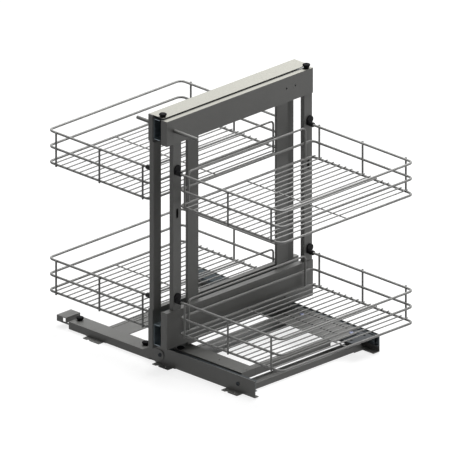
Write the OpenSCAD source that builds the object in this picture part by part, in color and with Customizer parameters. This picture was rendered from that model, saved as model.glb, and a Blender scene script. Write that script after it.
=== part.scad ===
/* [Frames] */
// Length of the beams and channels, front to back
frame_len = 500; // [440:5:560]
// Height from the floor to the top of the top channel
frame_top = 663.5; // [610:0.5:710]
// Underside of the pull-out frame above the floor
frame_bottom = 54; // [53:0.5:60]
// Width of the left channels
channel_w = 47; // [44:0.5:50]
// Width of the box along the outer side of each left channel
channel_box_w = 15; // [14:0.5:18]
// Height of the top channel
top_channel_h = 70; // [66:1:80]
// Height of the lower channel
low_channel_h = 101; // [90:1:130]
// Sheet thickness of channels, beams and plates
sheet = 2; // [1.5:0.1:2.5]
// Thickness of the beams of the carriage frame
beam_w = 17; // [16:0.5:20]
// Height of the top beam
top_beam_h = 65; // [60:1:75]
// Drop of the top beam below the top channel
beam_drop = 4.5; // [4:0.5:8]
// Height of the lower beam
low_beam_h = 94; // [80:1:110]
// Underside of the lower beam above the floor
low_beam_z = 65; // [63:1:73]

/* [Posts] */
// Depth of a carriage post, across the opening
post_x = 13; // [10:0.5:13]
// Width of a carriage post, front to back
post_y = 27; // [22:1:32]
// Wall of the posts and uprights
post_wall = 1.6; // [1.2:0.1:2.5]
// Set-back of the front carriage post from the beam end
post_setback = 24; // [20:1:30]
// Thickness of the uprights between the frames
upright_x = 8; // [6:0.5:9]
// Width of the uprights
upright_y = 37; // [30:1:42]
// Distance between the uprights
upright_pitch = 304; // [260:2:340]
// Width of the pull-out frame's posts
pull_post_w = 14.5; // [12:0.5:18]
// Depth of the pull-out frame's posts, front to back
pull_post_leg = 26; // [22:1:32]
// Set-in of the pull-out frame's posts from the channels' outer side
pull_post_in = 4; // [2:0.5:6]
// Thickness of the covers on the front ends of the left channels
pull_post_t = 3; // [2:0.1:4]
// Slot length in the posts
slot_len = 25; // [15:1:40]
// Slot width in the posts
slot_w = 8; // [5:0.5:9]
// Height of the slots above the floor
slot_z = 410; // [370:1:440]

/* [Baskets] */
// Width of a basket, frame side to outer side
basket_x = 353; // [300:1:380]
// How much shorter a basket is than the frames
basket_short = 41.5; // [35:0.5:50]
// Middle of the rear baskets behind the middle of the frames
basket_back = 9; // [6:0.5:14]
// Middle of the front baskets ahead of the rear baskets' middle
basket_ahead = 22.5; // [20:0.5:24]
// Height of a basket
basket_h = 89; // [60:1:110]
// Rim wire diameter
rim_d = 6; // [5:0.1:7]
// Upright wire diameter
stay_d = 5; // [4:0.1:6]
// Floor wire diameter
floor_d = 3.4; // [2.5:0.1:4]
// Floor wire spacing
floor_pitch = 21; // [15:0.5:30]
// Distance of the first floor wire from the outer side
floor_in = 27.5; // [24:0.5:34]
// Distance of the first uprights from the outer side
stay_in = 33; // [26:0.5:40]
// Distance of the last uprights from the frame side
stay_end = 24; // [20:0.5:40]
// Rim corner radius
rim_r = 15; // [10:0.5:25]
// Top rim of the lower baskets above the floor
low_rim_z = 184; // [170:1:204]
// Distance between the lower and the upper baskets
basket_pitch = 334; // [300:1:350]
// Gap between a carriage post and the rear baskets
basket_gap = 10; // [5:0.5:12]
// Gap between the pull-out frame's posts and the front baskets
front_gap = 5; // [4:0.5:8]

/* [Base] */
// Length of the base rails
base_len = 635; // [600:5:680]
// Depth of the base, outside the rails
base_depth = 427; // [400:1:440]
// Height of the front rail's outer wall
front_rail_h = 43.5; // [40:0.5:46]
// Height of the rear rail
rear_rail_h = 46; // [44:0.5:50]
// Length of the right-hand front rail
front_rail_len = 356; // [330:1:380]
// Height of the low left-hand front rail
low_rail_h = 19.5; // [15:0.5:19.5]
// Width of the low left-hand front rail
low_rail_w = 47; // [40:1:60]
// Depth of the front rails' lower flange
front_rail_w = 13; // [11:0.5:18]
// Depth of the rear rail's lower flange
rear_flange = 22; // [16:0.5:28]
// Distance between the fixing holes across the base
fix_pitch = 473; // [420:1:500]
// Fixing hole diameter
fix_d = 5; // [4:0.1:6]
// Reach of the fixing feet beyond the rail
foot_reach = 17.5; // [15:0.5:24]
// Length of a fixing foot
foot_len = 54; // [50:1:66]
// Depth of the feet's seat under a rail
foot_seat = 8; // [6:0.5:9]
// Distance of the right-hand feet from the base's right end
foot_in = 71; // [60:1:80]
// Length of the bracket beyond the base's left end
bracket_len = 41; // [38:1:60]
// Height of the bracket's top above the low rail
bracket_rise = 7; // [4:0.5:10]
// Width of the bracket's top
bracket_w = 32; // [24:1:34]
// Width of a cross plate between the rails
cross_plate_w = 68; // [60:1:80]
// Width of the right-hand cross bar
right_bar_w = 30; // [26:1:40]
// Width of the flat border round a cross plate's pressed middle
plate_border = 11; // [8:0.5:14]
// Depth of a cross plate's pressed middle
plate_press = 0.8; // [0.5:0.1:1]

/* [Runners] */
// Height of the runners between the frames
frame_runner_h = 53; // [45:0.5:56]
// Height of the base runners
base_runner_h = 27; // [25:0.5:28]
// Thickness of the base runners
base_runner_t = 10.7; // [10:0.1:13]
// Sheet of the runner members
runner_sheet = 1.4; // [1.0:0.1:1.6]
// Ball gap between two runner members
ball_gap = 2.6; // [2.2:0.1:3]
// Length of the sliding members between the frames
frame_runner_len = 450; // [400:5:480]
// Length of the sliding members on the base
base_runner_len = 340; // [300:5:350]

/* [Carriage] */
// Length of the carriage plates
plate_len = 260; // [240:1:280]
// Width of the front carriage plate
front_plate_w = 47.5; // [40:0.5:60]
// Width of the rear carriage plate
rear_plate_w = 97; // [80:1:110]
// Width of the carriage cross bar
cross_bar_w = 20; // [16:0.5:30]
// Depth of the carriage cross bar's outer wall
cross_bar_h = 20; // [14:0.5:22]

/* [Small parts] */
// Grip rod diameter
grip_d = 9; // [8:0.1:12]
// Grip rod length
grip_len = 80; // [60:1:100]
// Length of the pull-out frame's grip rod
pull_grip_len = 63; // [50:1:80]
// Diameter of the black stop buttons
button_d = 19; // [14:0.5:22]
// Height of the stop buttons
button_h = 7; // [4:0.5:8]
// Height of the stem under a stop button
button_stem = 1.5; // [1:0.5:6]
// Clearance between sliding pieces
run_clear = 0.5; // [0.3:0.1:0.8]
// Clearance of a wire end in its clip
clip_clear = 0.2; // [0.1:0.05:0.3]

/* [Hidden] */
$fn = 48;

steel = "#565654";
wire_grey = "#858583";
zinc = "#4c565c";
black = "#161616";
eps = 0.01;

// Faces shared by the pieces: x 0 is the plane between the two frames, y 0 their middle
front_y = -frame_len / 2;
rear_y = frame_len / 2;
base_front_y = -base_depth / 2 + 3.5;
base_rear_y = base_front_y + base_depth;
base_right_x = 278;
base_left_x = base_right_x - base_len;
rail_z = sheet;
low_rail_top = rail_z + low_rail_h;
front_wall_top = rail_z + front_rail_h;
runner_z = front_wall_top - base_runner_h / 2;
plate_z = front_wall_top + run_clear;
plate_top = plate_z + sheet;
front_rail_x = base_right_x - front_rail_len;
front_inner_y = base_front_y + sheet;
front_flange_y = base_front_y + front_rail_w;
front_slide_y = front_inner_y + base_runner_t;
rear_wall_y = base_rear_y - sheet;
rear_slide_y = rear_wall_y - base_runner_t;
plate_front_y = front_slide_y;
plate_back_y = plate_front_y + front_plate_w;
rear_plate_y = rear_slide_y - rear_plate_w;
plate_x = -40;
carriage_runner_x = base_right_x - base_runner_len - 10;
bay_x = -channel_w + channel_box_w;
frame_runner_t = -upright_x - bay_x;
top_channel_z = frame_top - top_channel_h;
low_channel_z = frame_bottom + 1;
low_channel_top = low_channel_z + low_channel_h;
top_runner_z = frame_top - top_channel_h / 2 - 1;
low_runner_z = low_channel_z + sheet + frame_runner_h / 2 + 8;
top_beam_z = frame_top - beam_drop - top_beam_h;
top_beam_top = frame_top - beam_drop;
low_beam_top = low_beam_z + low_beam_h;
post_x0 = 2;
post_face = post_x0 + post_x;
front_post_y = front_y + post_setback;
rear_post_y = rear_y - 1 - post_y;
pull_post_x = -channel_w + pull_post_in;
pull_rear_y = rear_y - 47;
basket_y = frame_len - basket_short;
rear_basket_y = basket_back;
front_basket_y = rear_basket_y - basket_ahead;
rear_basket_x = post_face + basket_gap;
front_basket_x = pull_post_x - front_gap;
upper_rim_z = low_rim_z + basket_pitch;
grip_y = front_y + 25;
grip_z = top_beam_z + top_beam_h / 2 + 3;
foot_x = base_right_x - foot_in;
foot_xs = [foot_x - fix_pitch, foot_x - fix_pitch / 2, foot_x];
foot_hole_in = foot_len * 0.18;
seat_y0 = base_front_y + foot_seat + run_clear;
seat_y1 = base_rear_y - foot_seat - run_clear;
low_front_y = base_front_y - sheet;
button_stem_r = button_d * 0.36;
left_end_x = min(base_left_x - bracket_len, front_basket_x - basket_x);
model_x = -(left_end_x + rear_basket_x + basket_x) / 2;

// Moves a piece from the frame plane to the middle of the whole part
module placed() {
    translate([model_x, 0, 0])
        children();
}

// A box between two corners
module block(low, high) {
    translate(low)
        cube(high - low);
}

// A profile drawn in x and z, drawn out along y
module along_y(y0, y1) {
    translate([0, y1, 0])
        rotate([90, 0, 0])
            linear_extrude(y1 - y0)
                children();
}

// A profile drawn in y and z, drawn out along x
module along_x(x0, x1) {
    translate([x0, 0, 0])
        rotate([90, 0, 90])
            linear_extrude(x1 - x0)
                children();
}

// A round bar between two heights, or along x or y
module bar_x(x0, x1, y, z, d) {
    translate([x0, y, z])
        rotate([0, 90, 0])
            cylinder(d = d, h = x1 - x0);
}

module bar_y(x, y0, y1, z, d) {
    translate([x, y1, z])
        rotate([90, 0, 0])
            cylinder(d = d, h = y1 - y0);
}

module bar_z(x, y, z0, z1, d) {
    translate([x, y, z0])
        cylinder(d = d, h = z1 - z0);
}

// A slot with round ends, standing along z, cut through a wall that faces x
module slot_x(x0, x1, y, z) {
    for (end = [-1, 1])
        bar_x(x0, x1, y, z + end * (slot_len - slot_w) / 2, slot_w);
    block([x0, y - slot_w / 2, z - (slot_len - slot_w) / 2],
          [x1, y + slot_w / 2, z + (slot_len - slot_w) / 2]);
}

// Runner members nest inside each other: level 0 is fixed, 1 rides in it and 2 rides in that
function member_h(h, level) = h - level * 2 * (runner_sheet + ball_gap);

// Section of a runner member: depth from its wall along the first axis, height along the second
module member_section(h, t, level) {
    mh = member_h(h, level);
    web = [0, t / 2 - runner_sheet / 2, t - runner_sheet][level];
    near = [0, runner_sheet + run_clear, (t + runner_sheet) / 2 + run_clear][level];
    far = [t - 3 * runner_sheet, t - runner_sheet - run_clear, t][level];
    translate([web, -mh / 2])
        square([runner_sheet, mh]);
    for (side = [-1, 1])
        translate([near, side * (mh - runner_sheet) / 2 - runner_sheet / 2])
            square([far - near, runner_sheet]);
}

// A runner member of the pull-out, fixed to the channel side at level 0
module frame_member(z, level, y0, y1) {
    translate([bay_x, 0, z])
        along_y(y0, y1)
            member_section(frame_runner_h, frame_runner_t, level);
}

// A base runner member; the rear runner faces the front one
module base_member(level, x0, x1, rear) {
    translate([0, rear ? rear_wall_y : front_inner_y, runner_z])
        mirror([0, rear ? 1 : 0, 0])
            along_x(x0, x1)
                member_section(base_runner_h, base_runner_t, level);
}

// A beam pressed as a tray, open towards the runners; its front end reaches past the open side
module tray_beam(z0, h) {
    end_over = 3.5;
    block([-end_over, front_y, z0], [beam_w, front_y + sheet, z0 + h]);
    difference() {
        block([0, front_y, z0], [beam_w, rear_y, z0 + h]);
        block([-eps, front_y + sheet, z0 + sheet],
              [beam_w - sheet, rear_y - sheet, z0 + h - sheet]);
    }
}

// A square tube standing on z0
module tube_z(x0, y0, z0, x1, y1, z1) {
    difference() {
        block([x0, y0, z0], [x1, y1, z1]);
        block([x0 + post_wall, y0 + post_wall, z0 - eps],
              [x1 - post_wall, y1 - post_wall, z1 + eps]);
    }
}

// A quarter bend of wire at a rim corner, its centre at the origin
module bend(start) {
    rotate([0, 0, start])
        rotate_extrude(angle = 90)
            translate([rim_r, 0])
                circle(d = rim_d, $fn = 24);
}

// Gap between a wire end and the post behind its clip
end_clear = 1;

// A rim round the basket at one height; the frame side is left open on the top rim
module rim(z, open, gap) {
    half = basket_y / 2 - rim_d / 2;
    x0 = rim_d / 2;
    x1 = basket_x - rim_d / 2;
    reach = open ? end_clear - gap : x0 + rim_r;
    for (side = [-1, 1]) {
        bar_x(reach, x1 - rim_r, side * half, z, rim_d);
        translate([x1 - rim_r, side * (half - rim_r), z])
            bend(side > 0 ? 0 : 270);
    }
    bar_y(x1, -half + rim_r, half - rim_r, z, rim_d);
    if (!open) {
        bar_y(x0, -half + rim_r, half - rim_r, z, rim_d);
        for (side = [-1, 1])
            translate([x0 + rim_r, side * (half - rim_r), z])
                bend(side > 0 ? 90 : 180);
    }
}

// Wire basket: its frame side at x 0, its rims centred on y 0, its top rim at z
module basket(z, gap) {
    half = basket_y / 2 - rim_d / 2;
    low = z - basket_h + rim_d;
    middle = (z + low) / 2;
    stay_out = (rim_d + stay_d) / 2 - 1.4;
    stay_over = rim_d / 2 + 0.8;
    outer_stay = basket_x - stay_in;
    stay_pitch = (outer_stay - stay_end) / 2;
    guard_half = half - 27;
    guard_x = rim_d / 2 + stay_out;
    guard_r = 10;
    floor_z = low + (rim_d + floor_d) / 2 - 1.2;
    floor_end = 4;
    floor_steps = floor((basket_x - floor_in - rim_d) / floor_pitch);
    rim(z, true, gap);
    rim(middle, false, gap);
    rim(low, false, gap);
    for (side = [-1, 1], step = [0:2])
        bar_z(outer_stay - step * stay_pitch, side * (half + stay_out),
              low - stay_over, z + stay_over, stay_d);
    for (step = [0:floor_steps])
        bar_y(basket_x - floor_in - step * floor_pitch,
              -half - floor_end, half + floor_end, floor_z, floor_d);
    bar_x(rim_d / 2, basket_x - rim_d / 2, 0, floor_z - floor_d + 0.8, floor_d);
    for (side = [-1, 1]) {
        bar_z(guard_x, side * guard_half, low, z - guard_r, stay_d);
        translate([guard_x, side * (guard_half - guard_r), z - guard_r])
            rotate([90, 0, side * 90])
                rotate_extrude(angle = 90)
                    translate([guard_r, 0])
                        circle(d = stay_d, $fn = 24);
    }
    bar_y(guard_x, -guard_half + guard_r, guard_half - guard_r, z, stay_d);
}

module rear_basket(z) {
    color(wire_grey)
        placed()
            translate([rear_basket_x, rear_basket_y, 0])
                basket(z, basket_gap);
}

module front_basket(z) {
    color(wire_grey)
        placed()
            translate([front_basket_x, front_basket_y, 0])
                mirror([1, 0, 0])
                    basket(z, front_gap);
}

// Moulded clip on a post: a flat egg-shaped boss and a socket under it, bored for the wire end
module clip() {
    boss_d = 20;
    boss_t = 4;
    socket_d = 12;
    socket_len = 18;
    drop = 9;
    boss_shift = 4;
    seat = 0.6;
    difference() {
        union() {
            bar_x(0, boss_t, boss_shift, drop, boss_d);
            bar_x(0, socket_len, 0, 0, socket_d);
            block([0, -socket_d / 2, 0], [boss_t, socket_d / 2, drop]);
        }
        bar_x(seat, socket_len + eps, 0, 0, rim_d + 2 * clip_clear);
    }
}

// The clips of two baskets, on the post face at one x
module clips(x, y_middle, turn) {
    for (z = [low_rim_z, upper_rim_z], side = [-1, 1])
        translate([x, y_middle + side * (basket_y - rim_d) / 2, z])
            mirror([turn, 0, 0])
                clip();
}

// Mushroom-shaped stop button standing on z 0
module button(stem, head) {
    edge = 1.5;
    rotate_extrude()
        polygon([
            [0, 0], [button_stem_r, 0], [button_stem_r, stem], [button_d / 2 - edge, stem + edge],
            [button_d / 2, stem + head / 2], [button_d / 2, stem + head - edge],
            [button_d / 2 - edge, stem + head], [0, stem + head]
        ]);
}

// Pan-head screw with its head on z 0, shank below
module screw(head_d, head_h, shank_d, shank_h) {
    rotate_extrude()
        polygon([
            [0, -shank_h], [shank_d / 2, -shank_h], [shank_d / 2, 0], [head_d / 2, 0],
            [head_d / 2, head_h * 0.5], [head_d / 2 * 0.75, head_h], [0, head_h]
        ]);
}

// Base

module front_rail() {
    color(steel) placed() difference() {
        along_x(front_rail_x, base_right_x)
            union() {
                translate([base_front_y, rail_z])
                    square([sheet, front_rail_h]);
                translate([base_front_y, rail_z])
                    square([front_rail_w, sheet]);
            }
        for (x = rail_screw_xs)
            bar_y(x, base_front_y - eps, base_front_y + sheet + eps, rail_screw_z, screw_hole);
    }
}

rail_screw_xs = [front_rail_x + front_rail_len * 0.093, base_right_x - front_rail_len * 0.163];
rail_screw_z = rail_z + front_rail_h / 2;
screw_hole = 5;
tongue_h = 26;

module low_front_rail() {
    tongue_x = rail_screw_xs[0];
    tongue_top = rail_screw_z + tongue_h / 2;
    color(steel) placed() difference() {
        union() {
            along_x(base_left_x, front_rail_x)
                union() {
                    translate([low_front_y, rail_z])
                        square([sheet, low_rail_h]);
                    translate([low_front_y, low_rail_top - sheet])
                        square([low_rail_w, sheet]);
                    translate([low_front_y, rail_z])
                        square([front_rail_w, sheet]);
                }
            along_y(low_front_y, base_front_y)
                polygon([
                    [front_rail_x - 2 * tongue_h, rail_z], [tongue_x, rail_screw_z - tongue_h / 2],
                    [tongue_x, tongue_top], [front_rail_x, tongue_top],
                    [front_rail_x - tongue_h, low_rail_top], [front_rail_x - 2 * tongue_h, low_rail_top]
                ]);
            bar_y(tongue_x, low_front_y, base_front_y, rail_screw_z, tongue_h);
        }
        bar_y(tongue_x, low_front_y - eps, base_front_y + eps, rail_screw_z, screw_hole);
    }
}

module rear_rail() {
    color(steel) placed()
        along_x(base_left_x, base_right_x)
            union() {
                translate([rear_wall_y, rail_z])
                    square([sheet, rear_rail_h]);
                translate([base_rear_y - rear_flange, rail_z])
                    square([rear_flange, sheet]);
            }
}

// The notch and the screw hole at a foot's front edge
module foot_cuts(x, edge_y, turn) {
    notch_d = 9;
    bar_z(x - foot_hole_in, edge_y, -eps, rail_z + eps, notch_d);
    bar_z(x + foot_hole_in, edge_y + turn * foot_reach / 2, -eps, rail_z + eps, fix_d);
}

// A cross plate under both rails: its ends stand out as feet, and its middle is pressed
module cross_plate(x) {
    half = cross_plate_w / 2;
    foot_half = foot_len / 2;
    y0 = base_front_y - foot_reach;
    y1 = base_rear_y + foot_reach;
    color(steel) placed() difference() {
        union() {
            block([x - half, base_front_y, 0], [x + half, base_rear_y, rail_z]);
            block([x - foot_half, y0, 0], [x + foot_half, y1, rail_z]);
        }
        foot_cuts(x, y0, 1);
        foot_cuts(x, y1, -1);
        block([x - half + plate_border, front_flange_y + plate_border, rail_z - plate_press],
              [x + half - plate_border, base_rear_y - rear_flange - plate_border, rail_z + eps]);
    }
}

module left_cross_plate() {
    cross_plate(foot_xs[0]);
}

module middle_cross_plate() {
    cross_plate(foot_xs[1]);
}

// A flat tube across the base, seated under both rails
module right_cross_bar() {
    bar_x1 = base_right_x - 40;
    bar_x0 = bar_x1 - right_bar_w;
    bar_h = front_rail_h - base_runner_h - run_clear;
    seat_len = 24;
    color(steel) placed() {
        along_y(front_flange_y + run_clear, base_rear_y - rear_flange)
            difference() {
                translate([bar_x0, rail_z])
                    square([right_bar_w, bar_h]);
                translate([bar_x0 + sheet, rail_z + sheet])
                    square([right_bar_w - 2 * sheet, bar_h - 2 * sheet]);
            }
        for (y = [[seat_y0, front_flange_y + seat_len], [base_rear_y - rear_flange - seat_len, seat_y1]])
            block([bar_x0, y[0], 0], [bar_x1, y[1], rail_z]);
    }
}

// A folded bracket at the left end: a top, a wall behind it, a front flange and a tie to the low rail
module end_bracket() {
    left = base_left_x - bracket_len;
    right = left + bracket_w;
    top = low_rail_top + bracket_rise;
    depth = low_rail_w + sheet;
    tie_z = low_rail_top - low_rail_h * 0.45;
    tie_h = 4;
    color(steel) placed() {
        block([left, low_front_y, top - sheet], [right, low_front_y + depth, top]);
        block([right - sheet, low_front_y, tie_z + sheet], [right, low_front_y + depth, top]);
        block([left, low_front_y, tie_z], [left + bracket_w * 0.65, low_front_y + sheet, top]);
        block([left, low_front_y, tie_z], [base_left_x, low_front_y + sheet, tie_z + tie_h]);
    }
}

// A flat fixing foot under one rail
module right_front_foot() {
    x = foot_xs[2];
    y0 = base_front_y - foot_reach;
    color(steel) placed() difference() {
        block([x - foot_len / 2, y0, 0], [x + foot_len / 2, base_front_y + foot_seat, rail_z]);
        foot_cuts(x, y0, 1);
    }
}

module right_rear_foot() {
    x = foot_xs[2];
    y1 = base_rear_y + foot_reach;
    color(steel) placed() difference() {
        block([x - foot_len / 2, base_rear_y - foot_seat, 0], [x + foot_len / 2, y1, rail_z]);
        foot_cuts(x, y1, -1);
    }
}

module rail_screws() {
    color(zinc) placed()
        for (index = [0, 1])
            translate([rail_screw_xs[index], index == 0 ? low_front_y : base_front_y, rail_screw_z])
                rotate([90, 0, 0])
                    screw(10, 3, screw_hole - 0.4, (index == 0 ? 2 : 1) * sheet - run_clear);
}

module base_stop_buttons() {
    color(black) placed()
        for (x = [base_left_x + button_d * 0.65, front_rail_x - button_d * 2.2])
            translate([x, front_slide_y + sheet + run_clear + button_d / 2, low_rail_top])
                button(button_stem, button_h);
}

module front_base_runner() {
    color(zinc) placed()
        base_member(0, front_rail_x, base_right_x, false);
}

module rear_base_runner() {
    color(zinc) placed()
        base_member(0, base_left_x, base_right_x, true);
}

module front_base_middle() {
    color(zinc) placed()
        base_member(1, carriage_runner_x, carriage_runner_x + base_runner_len, false);
}

module rear_base_middle() {
    color(zinc) placed()
        base_member(1, carriage_runner_x, carriage_runner_x + base_runner_len, true);
}

// Carriage

module front_base_slider() {
    color(zinc) placed()
        base_member(2, carriage_runner_x, carriage_runner_x + base_runner_len, false);
}

module rear_base_slider() {
    color(zinc) placed()
        base_member(2, carriage_runner_x, carriage_runner_x + base_runner_len, true);
}

flange_z = runner_z - member_h(base_runner_h, 2) / 2;
plate_hole = 4;

module front_carriage_plate() {
    color(steel) placed() difference() {
        union() {
            block([plate_x, plate_front_y, plate_z],
                  [plate_x + plate_len, plate_back_y, plate_top]);
            block([plate_x, front_slide_y, flange_z],
                  [plate_x + plate_len, front_slide_y + sheet, plate_z]);
            block([plate_x + plate_len - sheet, front_slide_y, plate_top - cross_bar_h],
                  [plate_x + plate_len, plate_back_y, plate_z]);
        }
        for (share = [0.62, 0.975])
            bar_z(plate_x + plate_len * share, plate_front_y + front_plate_w * 0.46,
                  plate_z - eps, plate_top + eps, plate_hole);
    }
}

rear_plate_x = plate_x + plate_len + 16;
rear_corner = 24;
strip_end_x = base_right_x - 4;
slot_rows = [rear_slide_y - 61, rear_slide_y - 17];
plate_screw_xs = [plate_x + plate_len * 0.365, rear_plate_x - plate_len * 0.046];
plate_screw_y = rear_slide_y - 31;

// Two rows of slots through the rear plate and the strip under it, up to one x
module plate_slots(y, x_end) {
    slot_x0 = plate_x + 32;
    length = 14;
    width = 7;
    pitch = 21;
    count = floor((x_end - slot_x0 - length) / pitch);
    for (step = [0:count])
        block([slot_x0 + step * pitch, y - width / 2, plate_z - sheet - eps],
              [slot_x0 + step * pitch + length, y + width / 2, plate_top + eps]);
}

module rear_carriage_plate() {
    color(steel) placed() difference() {
        union() {
            block([plate_x, rear_plate_y, plate_z], [rear_plate_x, rear_slide_y, plate_top]);
            block([plate_x, rear_slide_y - sheet, flange_z], [rear_plate_x, rear_slide_y, plate_z]);
        }
        block([rear_plate_x - rear_corner, rear_slide_y - rear_corner, flange_z - eps],
              [rear_plate_x + eps, rear_slide_y + eps, plate_top + eps]);
        plate_slots(slot_rows[0], rear_plate_x);
        plate_slots(slot_rows[1], rear_plate_x - rear_corner);
        for (x = plate_screw_xs)
            bar_z(x, plate_screw_y, plate_z - eps, plate_top + eps, screw_hole);
    }
}

// A plated strip under the rear plate, which shows beyond the plate's end
module rear_perforated_strip() {
    strip_y0 = slot_rows[0] - rear_plate_w * 0.144;
    color(zinc) placed() difference() {
        block([plate_x, strip_y0, plate_z - runner_sheet], [strip_end_x, rear_slide_y - sheet, plate_z]);
        plate_slots(slot_rows[0], strip_end_x);
        plate_slots(slot_rows[1], strip_end_x);
        for (x = plate_screw_xs)
            bar_z(x, plate_screw_y, plate_z - sheet, plate_z + eps, screw_hole);
    }
}

module carriage_cross_bar() {
    x1 = plate_x + plate_len;
    color(steel) placed()
        along_y(plate_back_y, rear_plate_y)
            union() {
                translate([x1 - cross_bar_w, plate_z])
                    square([cross_bar_w, sheet]);
                translate([x1 - sheet, plate_top - cross_bar_h])
                    square([sheet, cross_bar_h]);
            }
}

module plate_screws() {
    color(zinc) placed()
        for (x = plate_screw_xs)
            translate([x, plate_screw_y, plate_top])
                screw(11, 2.6, screw_hole - 0.4, 6);
}

module carriage_stop_button() {
    color(black) placed()
        translate([button_d / 4, plate_front_y + button_stem_r, plate_top])
            button(0, frame_bottom - plate_top - 1);
}

module upright(y0) {
    color(steel) placed()
        tube_z(-upright_x, y0, plate_top, 0, y0 + upright_y, top_beam_top - 6);
}

module front_upright() {
    upright(-upright_pitch / 2 - upright_y / 2 + 9);
}

module rear_upright() {
    upright(upright_pitch / 2 - upright_y / 2 + 10);
}

module top_beam() {
    color(steel) placed() difference() {
        tray_beam(top_beam_z, top_beam_h);
        for (y = [rear_y - 90, rear_y - 60])
            bar_x(beam_w - sheet - eps, beam_w + eps, y, top_beam_z + top_beam_h * 0.55, screw_hole);
    }
}

module lower_beam() {
    color(steel) placed() difference() {
        tray_beam(low_beam_z, low_beam_h);
        bar_x(beam_w - sheet - eps, beam_w + eps,
              rear_y - frame_len * 0.194, low_beam_z + low_beam_h * 0.234, screw_hole);
    }
}

module carriage_post(y0) {
    color(steel) placed() difference() {
        tube_z(post_x0, y0, low_beam_top, post_face, y0 + post_y, top_beam_z);
        slot_x(post_face - post_wall - eps, post_face + eps, y0 + post_y / 2, slot_z);
    }
}

module front_carriage_post() {
    carriage_post(front_post_y);
}

module rear_carriage_post() {
    carriage_post(rear_post_y);
}

module beam_stop_button() {
    color(black) placed()
        translate([max(beam_w / 2, roof_over + run_clear + button_stem_r), rear_y - button_d * 0.8,
                   top_beam_top])
            button(beam_drop + run_clear, button_h);
}

module carriage_grip() {
    color(steel) placed()
        grip(beam_w, 1, grip_len);
}

grip_edge = 1.5;

// A grip rod with a chamfered end, standing out of a frame face
module grip(x, turn, length) {
    translate([x, grip_y, grip_z])
        rotate([0, turn * 90, 0])
            rotate_extrude()
                polygon([
                    [0, 0], [grip_d / 2, 0], [grip_d / 2, length - grip_edge],
                    [grip_d / 2 - grip_edge, length], [0, length]
                ]);
}

module upper_rear_basket() {
    rear_basket(upper_rim_z);
}

module lower_rear_basket() {
    rear_basket(low_rim_z);
}

module carriage_clips() {
    color(black) placed()
        clips(post_face, rear_basket_y, 0);
}

// Runners between the frames

slide_y0 = -frame_runner_len / 2 + 3;
slide_y1 = frame_runner_len / 2 + 3;

module top_runner_fixed() {
    color(zinc) placed()
        frame_member(top_runner_z, 2, slide_y0, slide_y1);
}

module lower_runner_fixed() {
    color(zinc) placed()
        frame_member(low_runner_z, 2, slide_y0, slide_y1);
}

module top_runner_middle() {
    color(zinc) placed()
        frame_member(top_runner_z, 1, slide_y0, slide_y1);
}

module lower_runner_middle() {
    color(zinc) placed()
        frame_member(low_runner_z, 1, slide_y0, slide_y1);
}

module top_runner_slider() {
    color(zinc) placed()
        frame_member(top_runner_z, 0, front_y + pull_post_t + 1, rear_y - 4);
}

module lower_runner_slider() {
    color(zinc) placed()
        frame_member(low_runner_z, 0, front_y + pull_post_t + 1, rear_y - 4);
}

// Pull-out frame

// Reach of the top channel's roof over the top beam
roof_over = 2;

// A channel's box along its outer side, with the roof that reaches over the runner bay
module channel_section(z0, h, roof) {
    difference() {
        translate([-channel_w, z0])
            square([channel_box_w, h]);
        translate([-channel_w + sheet, z0 + sheet])
            square([channel_box_w - 2 * sheet, h - 2 * sheet]);
    }
    if (roof)
        translate([bay_x - eps, z0 + h - sheet])
            square([roof_over - bay_x + eps, sheet]);
}

module top_channel() {
    color(steel) placed()
        along_y(front_y + pull_post_t, rear_y)
            channel_section(top_channel_z, top_channel_h, true);
}

module lower_channel() {
    color(steel) placed()
        along_y(front_y + pull_post_t, rear_y)
            channel_section(low_channel_z, low_channel_h, false);
}

// A square tube between the two left channels
module pull_out_post(y0) {
    tube_z(pull_post_x, y0, low_channel_top, pull_post_x + pull_post_w, y0 + pull_post_leg, top_channel_z);
}

// The front post carries the covers of the channels' front ends
module pull_out_front_post() {
    color(steel) placed() {
        pull_out_post(front_y);
        for (z = [[frame_bottom, low_channel_top], [top_channel_z, frame_top]])
            block([-channel_w, front_y, z[0]], [bay_x, front_y + pull_post_t, z[1]]);
    }
}

module pull_out_rear_post() {
    color(steel) placed()
        pull_out_post(pull_rear_y);
}

module pull_out_grip() {
    color(steel) placed()
        grip(-channel_w, -1, pull_grip_len);
}

module channel_stop_button() {
    color(black) placed()
        translate([-upright_x, front_y + button_d * 0.6, frame_top])
            button(button_stem, button_h);
}

module upper_front_basket() {
    front_basket(upper_rim_z);
}

module lower_front_basket() {
    front_basket(low_rim_z);
}

module pull_out_clips() {
    color(black) placed()
        clips(pull_post_x, front_basket_y, 1);
}

front_rail();
low_front_rail();
rear_rail();
left_cross_plate();
middle_cross_plate();
right_cross_bar();
end_bracket();
right_front_foot();
right_rear_foot();
rail_screws();
base_stop_buttons();
front_base_runner();
rear_base_runner();
front_base_middle();
rear_base_middle();
front_base_slider();
rear_base_slider();
front_carriage_plate();
rear_carriage_plate();
rear_perforated_strip();
carriage_cross_bar();
plate_screws();
carriage_stop_button();
front_upright();
rear_upright();
top_beam();
lower_beam();
front_carriage_post();
rear_carriage_post();
beam_stop_button();
carriage_grip();
upper_rear_basket();
lower_rear_basket();
carriage_clips();
top_runner_fixed();
lower_runner_fixed();
top_runner_middle();
lower_runner_middle();
top_runner_slider();
lower_runner_slider();
top_channel();
lower_channel();
pull_out_front_post();
pull_out_rear_post();
pull_out_grip();
channel_stop_button();
upper_front_basket();
lower_front_basket();
pull_out_clips();
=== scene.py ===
import math

import bmesh
import bpy
from mathutils import Matrix, Vector


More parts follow.
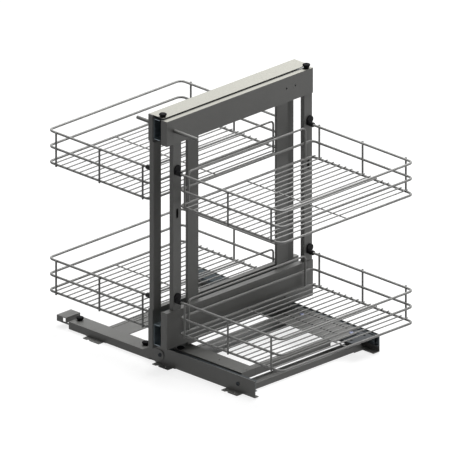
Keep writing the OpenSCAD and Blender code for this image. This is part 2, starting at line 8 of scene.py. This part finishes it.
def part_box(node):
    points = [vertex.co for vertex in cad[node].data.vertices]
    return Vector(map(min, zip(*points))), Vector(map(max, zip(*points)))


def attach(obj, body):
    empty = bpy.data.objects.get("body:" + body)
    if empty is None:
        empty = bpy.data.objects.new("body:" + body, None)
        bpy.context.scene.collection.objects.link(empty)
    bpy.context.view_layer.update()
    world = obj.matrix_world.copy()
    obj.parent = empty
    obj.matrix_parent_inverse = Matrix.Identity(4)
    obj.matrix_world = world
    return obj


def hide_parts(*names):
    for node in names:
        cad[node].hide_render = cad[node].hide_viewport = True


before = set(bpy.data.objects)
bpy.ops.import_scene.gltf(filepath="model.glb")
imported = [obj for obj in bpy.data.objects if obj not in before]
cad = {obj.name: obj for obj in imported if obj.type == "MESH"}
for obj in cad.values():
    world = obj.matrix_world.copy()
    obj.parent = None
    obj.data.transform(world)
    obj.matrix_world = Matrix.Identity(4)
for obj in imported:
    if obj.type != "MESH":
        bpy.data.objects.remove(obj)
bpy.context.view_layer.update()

# The studio: a wide pale floor under the fitting, a white surround, a soft lamp overhead and a
# weak one on the right. The floor looks nearly white and keeps a faint shadow, and it throws
# back less light on the steel than it shows.
FLOOR_REACH, FLOOR_DROP = 30, 0.0005
FLOOR_WHITE, FLOOR_BOUNCE = 0.97, 0.14
FLOOR_GLOW, SHADOW_SHARE = 1.15, 0.3
SURROUND_SHOWN, SURROUND_FILL = 1, 0.11
scene = bpy.context.scene
scene.view_settings.view_transform = "Standard"


def new_material(name):
    material = bpy.data.materials.new(name)
    material.use_nodes = True
    material.node_tree.nodes.clear()
    return material, material.node_tree.nodes, material.node_tree.links


def combine(nodes, links, operation, first, second):
    """Works one Math step on a socket and on another socket or a number."""
    step = nodes.new("ShaderNodeMath")
    step.operation = operation
    links.new(first, step.inputs[0])
    if isinstance(second, bpy.types.NodeSocket):
        links.new(second, step.inputs[1])
    else:
        step.inputs[1].default_value = second
    return step.outputs[0]


def grey_shader(nodes, kind, grey, strength=None):
    shader = nodes.new(kind)
    shader.inputs["Color"].default_value = (grey, grey, grey, 1)
    if strength is not None:
        shader.inputs["Strength"].default_value = strength
    return shader


def show_and_light(nodes, links, out, shown, lighting):
    """Shows one shader to the camera and in reflections, and lights the steel with the other."""
    path = nodes.new("ShaderNodeLightPath")
    seen = path.outputs["Is Camera Ray"]
    for ray in ("Is Glossy Ray", "Is Transmission Ray"):
        seen = combine(nodes, links, "MAXIMUM", seen, path.outputs[ray])
    choose = nodes.new("ShaderNodeMixShader")
    links.new(seen, choose.inputs[0])
    links.new(lighting.outputs[0], choose.inputs[1])
    links.new(shown.outputs[0], choose.inputs[2])
    links.new(choose.outputs[0], out.inputs["Surface"])


floor_mesh = bmesh.new()
bmesh.ops.create_grid(floor_mesh, x_segments=1, y_segments=1, size=FLOOR_REACH)
floor_data = bpy.data.meshes.new("studio_floor")
floor_mesh.to_mesh(floor_data)
floor_mesh.free()
studio_floor = bpy.data.objects.new("studio_floor", floor_data)
studio_floor.location.z = -FLOOR_DROP
scene.collection.objects.link(studio_floor)

floor_white, nodes, links = new_material("floor_white")
glow = grey_shader(nodes, "ShaderNodeEmission", 1, FLOOR_GLOW)
shadowed = grey_shader(nodes, "ShaderNodeBsdfDiffuse", FLOOR_WHITE)
bounced = grey_shader(nodes, "ShaderNodeBsdfDiffuse", FLOOR_BOUNCE)
shown_floor = nodes.new("ShaderNodeMixShader")
shown_floor.inputs[0].default_value = SHADOW_SHARE
links.new(glow.outputs[0], shown_floor.inputs[1])
links.new(shadowed.outputs[0], shown_floor.inputs[2])
show_and_light(nodes, links, nodes.new("ShaderNodeOutputMaterial"), shown_floor, bounced)
studio_floor.data.materials.append(floor_white)

scene.world = bpy.data.worlds.new("white_surround")
scene.world.use_nodes = True
nodes, links = scene.world.node_tree.nodes, scene.world.node_tree.links
nodes.clear()
shown_surround = grey_shader(nodes, "ShaderNodeBackground", 1, SURROUND_SHOWN)
fill = grey_shader(nodes, "ShaderNodeBackground", 1, SURROUND_FILL)
show_and_light(nodes, links, nodes.new("ShaderNodeOutputWorld"), shown_surround, fill)


def soft_lamp(name, place, target, size, watts):
    lamp = bpy.data.lights.new(name, "AREA")
    lamp.shape = "SQUARE"
    lamp.size = size
    lamp.energy = watts
    lamp_object = bpy.data.objects.new(name, lamp)
    lamp_object.location = place
    towards = Vector(target) - Vector(place)
    lamp_object.rotation_euler = towards.to_track_quat("-Z", "Y").to_euler()
    scene.collection.objects.link(lamp_object)


soft_lamp("overhead_lamp", place=(-0.3, 0.9, 3.3), target=(0, 0, 0.3), size=2.4, watts=165)
soft_lamp("right_lamp", place=(3.0, 0.8, 0.5), target=(0, 0, 0.2), size=2.0, watts=15)

# The camera draws without perspective, from 45 degrees to the right and 22 degrees above level.
# One side of the picture spans 1.088 m of the object.
AZIMUTH, ELEVATION = math.radians(45), math.radians(22)
CAMERA_DISTANCE, PICTURE_SIDE = 3, 1.0883
AIM = Vector((-0.0056, -0.0171, 0.3149))
camera = bpy.data.objects.new("camera", bpy.data.cameras.new("camera"))
scene.collection.objects.link(camera)
scene.camera = camera
back = Vector((math.sin(AZIMUTH) * math.cos(ELEVATION),
               -math.cos(AZIMUTH) * math.cos(ELEVATION),
               math.sin(ELEVATION)))
camera.location = AIM + back * CAMERA_DISTANCE
camera.rotation_euler = (-back).to_track_quat("-Z", "Y").to_euler()
camera.data.type = "ORTHO"
camera.data.ortho_scale = PICTURE_SIDE

# The base: rails and cross plates folded from 2 mm steel sheet and welded, with flat fixing feet.
# All of it has a dark grey powder coat, which is satin, finely pimpled and uneven in tone.
FRAME_GREY, FRAME_SHADE, FRAME_ROUGHNESS = (0.17, 0.17, 0.163), 0.88, 0.42
GLOSS_GRAIN = 0.06
SHEET_EDGE = 0.0005
JOIN_DISTANCE = 0.00001
FLAT_ANGLE, SHARP_ANGLE = math.radians(1), math.radians(40)


def noise(nodes, scale, detail):
    texture = nodes.new("ShaderNodeTexNoise")
    texture.inputs["Scale"].default_value = scale
    texture.inputs["Detail"].default_value = detail
    return texture


def tone_ramp(nodes, colour, shade, start, end):
    """Runs from the shaded colour to the full one over part of a noise's range."""
    ramp = nodes.new("ShaderNodeValToRGB")
    shaded, full = ramp.color_ramp.elements
    shaded.position = start
    shaded.color = (*[c * shade for c in colour], 1)
    full.position = end
    full.color = (*colour, 1)
    return ramp


def gloss_range(nodes, sharpest, dullest, start=0, end=1):
    """Spreads part of a noise's range over the finish's roughness."""
    gloss = nodes.new("ShaderNodeMapRange")
    gloss.inputs["From Min"].default_value = start
    gloss.inputs["From Max"].default_value = end
    gloss.inputs["To Min"].default_value = sharpest
    gloss.inputs["To Max"].default_value = dullest
    return gloss


def fine_bump(nodes, strength, depth):
    bump = nodes.new("ShaderNodeBump")
    bump.inputs["Strength"].default_value = strength
    bump.inputs["Distance"].default_value = depth
    return bump


def lay_finish(nodes, links, shader, tone, gloss, bump):
    out = nodes.new("ShaderNodeOutputMaterial")
    links.new(tone.outputs["Color"], shader.inputs["Base Color"])
    links.new(gloss.outputs["Result"], shader.inputs["Roughness"])
    links.new(bump.outputs["Normal"], shader.inputs["Normal"])
    links.new(shader.outputs[0], out.inputs["Surface"])


def powder_coat(name, colour, shade, roughness, shine=0.5):
    """Baked powder: a slow drift of tone, fine pimples, and a grain in the gloss."""
    material, nodes, links = new_material(name)
    paint = nodes.new("ShaderNodeBsdfPrincipled")
    paint.inputs["Specular IOR Level"].default_value = shine
    place = nodes.new("ShaderNodeTexCoord")
    drift = noise(nodes, scale=14, detail=5)
    pimples = noise(nodes, scale=1100, detail=2)
    tone = tone_ramp(nodes, colour, shade, start=0.3, end=0.7)
    gloss = gloss_range(nodes, roughness - GLOSS_GRAIN, roughness + GLOSS_GRAIN, start=0.3, end=0.7)
    bump = fine_bump(nodes, strength=0.12, depth=0.0003)
    links.new(place.outputs["Object"], drift.inputs["Vector"])
    links.new(place.outputs["Object"], pimples.inputs["Vector"])
    links.new(drift.outputs["Fac"], tone.inputs["Fac"])
    links.new(drift.outputs["Fac"], gloss.inputs["Value"])
    links.new(pimples.outputs["Fac"], bump.inputs["Height"])
    lay_finish(nodes, links, paint, tone, gloss, bump)
    return material


def frame_coat(name):
    return powder_coat(name, FRAME_GREY, FRAME_SHADE, FRAME_ROUGHNESS)


def finish_node(name, material, edge, segments=2):
    """Gives a CAD piece its finish, and rounds its sharp edges as folding and coating do."""
    piece = cad[name]
    piece.data.materials.clear()
    piece.data.materials.append(material)
    if edge:
        weld = piece.modifiers.new("join_faces", "WELD")
        weld.merge_threshold = JOIN_DISTANCE
        flats = piece.modifiers.new("join_flats", "DECIMATE")
        flats.decimate_type = "DISSOLVE"
        flats.angle_limit = FLAT_ANGLE
        bevel = piece.modifiers.new("round_edges", "BEVEL")
        bevel.width = edge
        bevel.segments = segments
        bevel.profile = 0.5
        bevel.limit_method = "ANGLE"
        bevel.angle_limit = SHARP_ANGLE


frame_paint = frame_coat("frame_paint")
for name in ("front_rail", "low_front_rail", "rear_rail", "left_cross_plate",
             "middle_cross_plate", "right_cross_bar", "end_bracket", "right_front_foot",
             "right_rear_foot"):
    finish_node(name, frame_paint, SHEET_EDGE)

# Telescopic runners: cold-rolled zinc-plated steel strip in nested C sections, on the base and
# between the frames. The rolling leaves fine streaks along each member. The runners on the base
# get a darker copy of the zinc, as painted shade.
X_AXIS, Y_AXIS, Z_AXIS = range(3)
# The base runners' zinc is much darker than the same zinc between the frames: painted shade.
SHADED_BASE_ZINC, BETWEEN_ZINC = (0.10, 0.117, 0.128), (0.32, 0.375, 0.41)
STREAK_LONG, STREAK_FINE = 6, 900
STRIP_EDGE = 0.0003


def rolled_zinc(name, colour, along):
    """Plated strip, with the streaks stretched along one axis of the object."""
    material, nodes, links = new_material(name)
    metal = nodes.new("ShaderNodeBsdfPrincipled")
    metal.inputs["Metallic"].default_value = 0.85
    place = nodes.new("ShaderNodeTexCoord")
    stretch = nodes.new("ShaderNodeMapping")
    stretch.inputs["Scale"].default_value = [STREAK_LONG if axis == along else STREAK_FINE
                                             for axis in (X_AXIS, Y_AXIS, Z_AXIS)]
    streak = noise(nodes, scale=1, detail=4)
    tone = tone_ramp(nodes, colour, shade=0.75, start=0.3, end=0.7)
    gloss = gloss_range(nodes, sharpest=0.26, dullest=0.46)
    bump = fine_bump(nodes, strength=0.08, depth=0.0002)
    links.new(place.outputs["Object"], stretch.inputs["Vector"])
    links.new(stretch.outputs["Vector"], streak.inputs["Vector"])
    links.new(streak.outputs["Fac"], tone.inputs["Fac"])
    links.new(streak.outputs["Fac"], gloss.inputs["Value"])
    links.new(streak.outputs["Fac"], bump.inputs["Height"])
    lay_finish(nodes, links, metal, tone, gloss, bump)
    return material


# Painted shade: the runners on the base use the darker zinc.
shaded_zinc_along_base = rolled_zinc("shaded_zinc_along_base", SHADED_BASE_ZINC, X_AXIS)
for name in ("front_base_runner", "rear_base_runner", "front_base_middle", "rear_base_middle",
             "front_base_slider", "rear_base_slider"):
    finish_node(name, shaded_zinc_along_base, STRIP_EDGE)
zinc_between_frames = rolled_zinc("zinc_between_frames", BETWEEN_ZINC, Y_AXIS)
for name in ("top_runner_fixed", "lower_runner_fixed", "top_runner_middle", "lower_runner_middle",
             "top_runner_slider", "lower_runner_slider"):
    finish_node(name, zinc_between_frames, STRIP_EDGE)

# The carriage: plates on the base runners, uprights, tray beams and tube posts, all in the same
# folded and coated steel, with a round grip rod screwed into the top beam. The walls of the rear
# plate's slots and its edges get painted shade, and the plated strip under them gets a darker
# zinc as painted shade.
TUBE_EDGE, NO_EDGE = 0.0006, 0
# The top beam and the top channel get a painted highlight on their faces that look up above 0.65 m;
# on the beam it covers only the outer 12 mm.
PAINTED_HIGHLIGHT_GREY, PAINTED_HIGHLIGHT_ABOVE, PAINTED_HIGHLIGHT_WIDTH = (0.345, 0.342, 0.302), 0.65, 0.012
# Painted shade for the rear plate's slot walls and edges, above 46 mm.
SLOT_PAINTED_SHADE, SLOT_SHADE_ABOVE = (0.012, 0.012, 0.012), 0.04605
# A darker zinc for the perforated strip, as painted shade under the rear plate.
SHADED_STRIP_ZINC = (0.06, 0.068, 0.076)
FACES_UP = 0.8
for name in ("front_carriage_plate", "carriage_cross_bar", "front_upright", "rear_upright",
             "lower_beam", "front_carriage_post", "rear_carriage_post", "carriage_grip"):
    finish_node(name, frame_paint, TUBE_EDGE)


def paint_light_and_shade(material, colour, level, upward_faces, from_x=-1):
    """Paints a highlight on the faces above one level that look up, or shade on those that don't.

    The painted highlight starts at from_x, so that the beam's inner edge, where the channel's
    shadow falls, stays frame grey.
    """
    nodes, links = material.node_tree.nodes, material.node_tree.links
    paint = next(node for node in nodes if node.type == "BSDF_PRINCIPLED")
    first_colour = paint.inputs["Base Color"].links[0].from_socket
    place = nodes.new("ShaderNodeTexCoord")
    facing = nodes.new("ShaderNodeSeparateXYZ")
    point = nodes.new("ShaderNodeSeparateXYZ")
    links.new(place.outputs["Normal"], facing.inputs[0])
    links.new(place.outputs["Object"], point.inputs[0])
    side = "GREATER_THAN" if upward_faces else "LESS_THAN"
    turned = combine(nodes, links, side, facing.outputs["Z"], FACES_UP)
    above = combine(nodes, links, "GREATER_THAN", point.outputs["Z"], level)
    beyond = combine(nodes, links, "GREATER_THAN", point.outputs["X"], from_x)
    painted_mask = combine(nodes, links, "MULTIPLY", turned, above)
    painted_mask = combine(nodes, links, "MULTIPLY", painted_mask, beyond)
    grain = noise(nodes, scale=420, detail=3)
    painted_tone = tone_ramp(nodes, colour, shade=0.86, start=0.3, end=0.62)
    links.new(place.outputs["Object"], grain.inputs["Vector"])
    links.new(grain.outputs["Fac"], painted_tone.inputs["Fac"])
    choose = nodes.new("ShaderNodeMix")
    choose.data_type = "RGBA"
    bare, painted_in = [socket for socket in choose.inputs if socket.type == "RGBA"]
    links.new(painted_mask, choose.inputs["Factor"])
    links.new(first_colour, bare)
    links.new(painted_tone.outputs["Color"], painted_in)
    chosen = next(socket for socket in choose.outputs if socket.type == "RGBA")
    links.new(chosen, paint.inputs["Base Color"])


# The top beam's upper face gets a painted highlight; its inner edge, where the channel's shadow
# falls, is left frame grey.
beam_painted_highlight = frame_coat("beam_painted_highlight")
beam_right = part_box("top_beam")[1][0]
paint_light_and_shade(beam_painted_highlight, PAINTED_HIGHLIGHT_GREY, PAINTED_HIGHLIGHT_ABOVE, True, beam_right - PAINTED_HIGHLIGHT_WIDTH)
finish_node("top_beam", beam_painted_highlight, TUBE_EDGE)
# Painted shade: the rear plate's faces that don't look up, its slot walls and edges, are near
# black.
slot_shaded_paint = frame_coat("slot_shaded_paint")
paint_light_and_shade(slot_shaded_paint, SLOT_PAINTED_SHADE, SLOT_SHADE_ABOVE, False)
finish_node("rear_carriage_plate", slot_shaded_paint, NO_EDGE)
# Painted shade: the perforated strip gets a darker copy of the plated zinc.
shaded_strip_zinc = rolled_zinc("shaded_strip_zinc", SHADED_STRIP_ZINC, X_AXIS)
finish_node("rear_perforated_strip", shaded_strip_zinc, NO_EDGE)

# The pull-out frame: two box channels over the runners, a square tube post at the front and the
# rear, and a grip rod. The upper face of the top channel gets a painted highlight, like the top
# beam's.
for name in ("lower_channel", "pull_out_front_post", "pull_out_rear_post", "pull_out_grip"):
    finish_node(name, frame_paint, TUBE_EDGE)
# A painted highlight on the top channel's faces that look up, above 0.65 m.
channel_painted_highlight = frame_coat("channel_painted_highlight")
paint_light_and_shade(channel_painted_highlight, PAINTED_HIGHLIGHT_GREY, PAINTED_HIGHLIGHT_ABOVE, True)
finish_node("top_channel", channel_painted_highlight, TUBE_EDGE)

# The baskets: drawn steel wire, bent at the rims and spot welded at every crossing, then coated
# grey. The coat is smooth and a little glossier than the frames'.
wire_coat = powder_coat("wire_coat", (0.30, 0.30, 0.292), shade=0.85, roughness=0.36)
for name in ("upper_rear_basket", "lower_rear_basket", "upper_front_basket", "lower_front_basket"):
    finish_node(name, wire_coat, NO_EDGE)
RIM_WIRE, STAY_WIRE, FLOOR_WIRE = 0.006, 0.005, 0.0034
STAY_SINK, STAY_OVER, FLOOR_SINK = 0.0014, 0.0008, 0.0012
BASKET_WIDTH, FLOOR_PITCH, FLOOR_INSET = 0.353, 0.021, 0.0275
STAYS, STAY_INSET, STAY_FIRST = 3, 0.033, 0.024
BEAD_THIN, BEAD_WIDE = 0.5 * FLOOR_WIRE, 0.72 * FLOOR_WIRE
RIM_BEAD_RISE, MIDDLE_BEAD_RISE, STAY_BEAD_SINK = 0.0006, 0.0004, 0.0007


def add_piece(name, shape, finish, body):
    """Makes a piece of a finished shape, and fixes it to its body."""
    data = bpy.data.meshes.new(name)
    shape.to_mesh(data)
    shape.free()
    piece = bpy.data.objects.new(name, data)
    piece.data.materials.append(finish)
    scene.collection.objects.link(piece)
    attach(piece, body)
    return piece


def weld_beads(basket, body, outward):
    """Swells the coat round each spot weld of the floor wires and the upright stays."""
    lowest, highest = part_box(basket)
    outside = highest[0] if outward > 0 else lowest[0]
    middle_y = (lowest[1] + highest[1]) / 2
    half = (highest[1] - lowest[1]) / 2 - STAY_WIRE - RIM_WIRE / 2 + STAY_SINK
    top = highest[2] - RIM_WIRE / 2 - STAY_OVER
    low = lowest[2] + RIM_WIRE / 2 + STAY_OVER
    wire_under = low + (RIM_WIRE + FLOOR_WIRE) / 2 - FLOOR_SINK - FLOOR_WIRE / 2
    floor_steps = math.floor((BASKET_WIDTH - FLOOR_INSET - RIM_WIRE) / FLOOR_PITCH)
    stay_pitch = (BASKET_WIDTH - STAY_INSET - STAY_FIRST) / (STAYS - 1)
    stay_y = half + RIM_WIRE / 2 - STAY_BEAD_SINK
    places = []
    for step in range(floor_steps + 1):
        x = outside - outward * (FLOOR_INSET + step * FLOOR_PITCH)
        places += [(x, middle_y + side * half, wire_under + RIM_BEAD_RISE, Z_AXIS)
                   for side in (-1, 1)]
        places.append((x, middle_y, wire_under + MIDDLE_BEAD_RISE, Z_AXIS))
    for step in range(STAYS):
        x = outside - outward * (STAY_INSET + step * stay_pitch)
        places += [(x, middle_y + side * stay_y, z, Y_AXIS)
                   for side in (-1, 1) for z in (low, (low + top) / 2, top)]
    beads = bmesh.new()
    for *place, thin_axis in places:
        reach = [BEAD_THIN if axis == thin_axis else BEAD_WIDE
                 for axis in (X_AXIS, Y_AXIS, Z_AXIS)]
        bmesh.ops.create_uvsphere(beads, u_segments=10, v_segments=6, radius=1,
                                  matrix=Matrix.Translation(place) @ Matrix.Diagonal((*reach, 1)))
    for face in beads.faces:
        face.smooth = True
    add_piece(basket + "_welds", beads, wire_coat, body)


for basket in ("upper_rear_basket", "lower_rear_basket"):
    weld_beads(basket, "carriage", outward=1)
for basket in ("upper_front_basket", "lower_front_basket"):
    weld_beads(basket, "pull_out_frame", outward=-1)

# Clips and stop buttons: black mouldings. The clips push into the posts and hold the rim's ends;
# the buttons are softer and stop the frames.
CLIP_EDGE, BUTTON_EDGE, MOULDED_STEPS = 0.0012, 0.0006, 3
clip_plastic = powder_coat("clip_plastic", (0.012, 0.012, 0.013), shade=0.8, roughness=0.45,
                           shine=0.1)
for name in ("carriage_clips", "pull_out_clips"):
    finish_node(name, clip_plastic, CLIP_EDGE, MOULDED_STEPS)
stop_rubber = powder_coat("stop_rubber", (0.006, 0.006, 0.007), shade=0.8, roughness=0.55,
                          shine=0.05)
for name in ("base_stop_buttons", "carriage_stop_button", "beam_stop_button",
             "channel_stop_button"):
    finish_node(name, stop_rubber, BUTTON_EDGE, MOULDED_STEPS)

# Screws: zinc-plated pan heads with a cross recess. Two dark ones hold the rails, and two bright
# ones with a blue passivation hold the perforated strip to the rear plate.
dark_zinc = rolled_zinc("dark_zinc", (0.035, 0.041, 0.047), Z_AXIS)
blue_zinc = rolled_zinc("blue_zinc", (0.42, 0.45, 0.62), Z_AXIS)
SHANK_RADIUS, HEAD_STEPS = 0.0023, 24
CROWN_RADIUS, SIDE_HEIGHT = 0.75, 0.5
CROSS_REACH, CROSS_HALF_WIDTH, CROSS_DEPTH, CROSS_TAPER = 0.5, 0.14, 0.6, 0.7
SAME_POINT = 0.000001


def cross_screw(head_radius, head_height, shank):
    """Turns a pan head with its shank, and sinks a cross into the crown."""
    screw = bmesh.new()
    profile = [(0, -shank), (SHANK_RADIUS, -shank), (SHANK_RADIUS, 0), (head_radius, 0),
               (head_radius, SIDE_HEIGHT * head_height), (CROWN_RADIUS * head_radius, head_height)]
    points = [screw.verts.new((x, 0, z)) for x, z in profile]
    edges = [screw.edges.new(pair) for pair in zip(points, points[1:])]
    bmesh.ops.spin(screw, geom=points + edges, axis=(0, 0, 1), cent=(0, 0, 0), steps=HEAD_STEPS,
                   angle=math.tau, use_merge=True)
    bmesh.ops.remove_doubles(screw, verts=screw.verts[:], dist=SAME_POINT)
    crown = [edge for edge in screw.edges if edge.is_boundary]
    arm, half = CROSS_REACH * head_radius, CROSS_HALF_WIDTH * head_radius
    outline = [(half, half), (half, arm), (-half, arm),
               (-half, half), (-arm, half), (-arm, -half),
               (-half, -half), (-half, -arm), (half, -arm),
               (half, -half), (arm, -half), (arm, half)]
    ring = [screw.verts.new((x, y, head_height)) for x, y in outline]
    cross = [screw.edges.new((ring[i - 1], ring[i])) for i in range(len(ring))]
    bmesh.ops.triangle_fill(screw, use_beauty=True, use_dissolve=False, edges=crown + cross)
    inside = [face for face in screw.faces if all(vert in ring for vert in face.verts)]
    bmesh.ops.delete(screw, geom=inside, context="FACES_ONLY")
    sunk = bmesh.ops.extrude_edge_only(screw, edges=cross)["geom"]
    low = [item for item in sunk if isinstance(item, bmesh.types.BMVert)]
    bmesh.ops.scale(screw, vec=(CROSS_TAPER, CROSS_TAPER, 1), verts=low)
    bmesh.ops.translate(screw, vec=(0, 0, -CROSS_DEPTH * head_height), verts=low)
    recess_floor = [edge for edge in screw.edges if all(vert in low for vert in edge.verts)]
    bmesh.ops.contextual_create(screw, geom=recess_floor)
    bmesh.ops.recalc_face_normals(screw, faces=screw.faces[:])
    return screw


def screw_set(name, body, plating, turn, head_radius, head_height, places, shanks):
    """Joins the like screws of one body in one piece."""
    one_screw = bpy.data.meshes.new("one_screw")
    joined = bmesh.new()
    for place, shank in zip(places, shanks):
        screw = cross_screw(head_radius, head_height, shank)
        screw.transform(Matrix.Translation(place) @ turn)
        screw.to_mesh(one_screw)
        screw.free()
        joined.from_mesh(one_screw)
    bpy.data.meshes.remove(one_screw)
    return add_piece(name, joined, plating, body)


facing_front, facing_up = Matrix.Rotation(math.pi / 2, 4, "X"), Matrix.Identity(4)
rail_heads = screw_set("rail_cross_screws", "base", dark_zinc, facing_front,
                       head_radius=0.005, head_height=0.003,
                       places=[(-0.0334, -0.212, 0.02375), (0.2315, -0.21, 0.02375)],
                       shanks=[0.0035, 0.0015])
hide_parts("rail_screws")
plate_heads = screw_set("plate_cross_screws", "carriage", blue_zinc, facing_up,
                        head_radius=0.0055, head_height=0.0026,
                        places=[(0.0664, 0.1733, 0.048), (0.2355, 0.1733, 0.048)],
                        shanks=[0.006, 0.006])
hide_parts("plate_screws")
